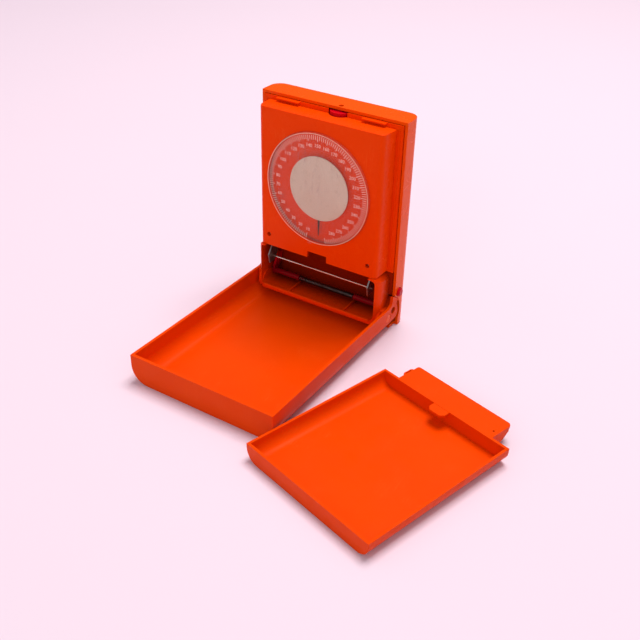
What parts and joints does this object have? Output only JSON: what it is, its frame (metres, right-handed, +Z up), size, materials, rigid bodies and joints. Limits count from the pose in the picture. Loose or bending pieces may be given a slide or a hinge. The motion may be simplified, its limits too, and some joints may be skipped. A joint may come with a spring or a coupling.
{
  "type": "folding kitchen scale",
  "caption": "Folding spring kitchen scale with a round dial, a fold-down lid and a loose rectangular weighing pan.",
  "frame": {"origin": "on the lid's underside, midway between its sides, straight below the lid's hinge axis", "axes": "+X to the right when facing the dial, +Y towards the back of the housing, +Z up"},
  "size_m": [0.2978, 0.268, 0.1935],
  "materials": {
    "orange": "glossy moulded plastic",
    "red": "glossy moulded plastic",
    "beige": "satin plastic",
    "clear": "clear glossy acrylic",
    "black": "black lacquer",
    "steel": "zinc-plated steel",
    "brass": "stamped brass"
  },
  "bodies": {
    "housing": {"rear_shell": "orange", "front_panel": "orange", "panel_screw_right": "steel", "panel_screw_left": "steel", "bin": "orange", "hinge_pin_right": "orange", "hinge_pin_left": "orange", "centre_disc": "beige", "dial_plate": "orange", "mechanism_frame": "steel", "guide_rod_right": "steel", "guide_rod_left": "steel", "bearing_bridge": "steel", "spring_hanger": "steel", "main_spring_right": "steel", "main_spring_left": "steel", "lock_spring": "black"},
    "lid": {"lid": "orange"},
    "yoke": {"yoke": "steel", "carrier_rod": "steel", "rack": "brass"},
    "pointer": {"pointer": "black", "pointer_shaft": "steel", "pinion": "brass"},
    "dial_window": {"dial_window": "clear"},
    "lock_right": {"lock_slider_right": "red"},
    "lock_left": {"lock_slider_left": "red"},
    "zero_wheel": {"zero_wheel": "red"},
    "pan": {"pan": "orange"}
  },
  "joints": [
    {"name": "lid_hinge", "type": "hinge", "parent": "housing", "child": "lid", "pos_m": [0, 0, 0.0165], "axis": [-1, 0, 0], "range_deg": [0, 90]},
    {"name": "pointer_turn", "type": "hinge", "parent": "housing", "child": "pointer", "pos_m": [0, 0, 0.1257], "axis": [0, 1, 0], "range_deg": [0, 343.8]},
    {"name": "yoke_travel", "type": "slide", "parent": "housing", "child": "yoke", "axis": [0, 0, -1], "range_m": [0, 0.012], "stiffness_N_per_m": 800, "springref_m": -0.002, "deforming": ["main_spring_right", "main_spring_left"]},
    {"name": "window_turn", "type": "hinge", "parent": "housing", "child": "dial_window", "pos_m": [0, 0, 0.1257], "axis": [0, 1, 0], "continuous": true},
    {"name": "lock_slide_right", "type": "slide", "parent": "housing", "child": "lock_right", "axis": [-1, 0, 0], "range_m": [0, 0.003], "stiffness_N_per_m": 600, "springref_m": -0.001, "deforming": ["lock_spring"]},
    {"name": "lock_slide_left", "type": "slide", "parent": "housing", "child": "lock_left", "axis": [1, 0, 0], "range_m": [0, 0.003], "stiffness_N_per_m": 600, "springref_m": -0.001, "deforming": ["lock_spring"]},
    {"name": "zero_turn", "type": "hinge", "parent": "housing", "child": "zero_wheel", "pos_m": [0.0063, 0.0132, 0.186], "axis": [0, 0, 1], "continuous": true},
    {"name": "pan_lift", "type": "slide", "parent": "housing", "child": "pan", "axis": [0, 0, 1], "range_m": [0, 0.21]}
  ],
  "couplings": [
    {"joint": "pointer_turn", "follows": "yoke_travel", "rad_per_m": 500}
  ]
}
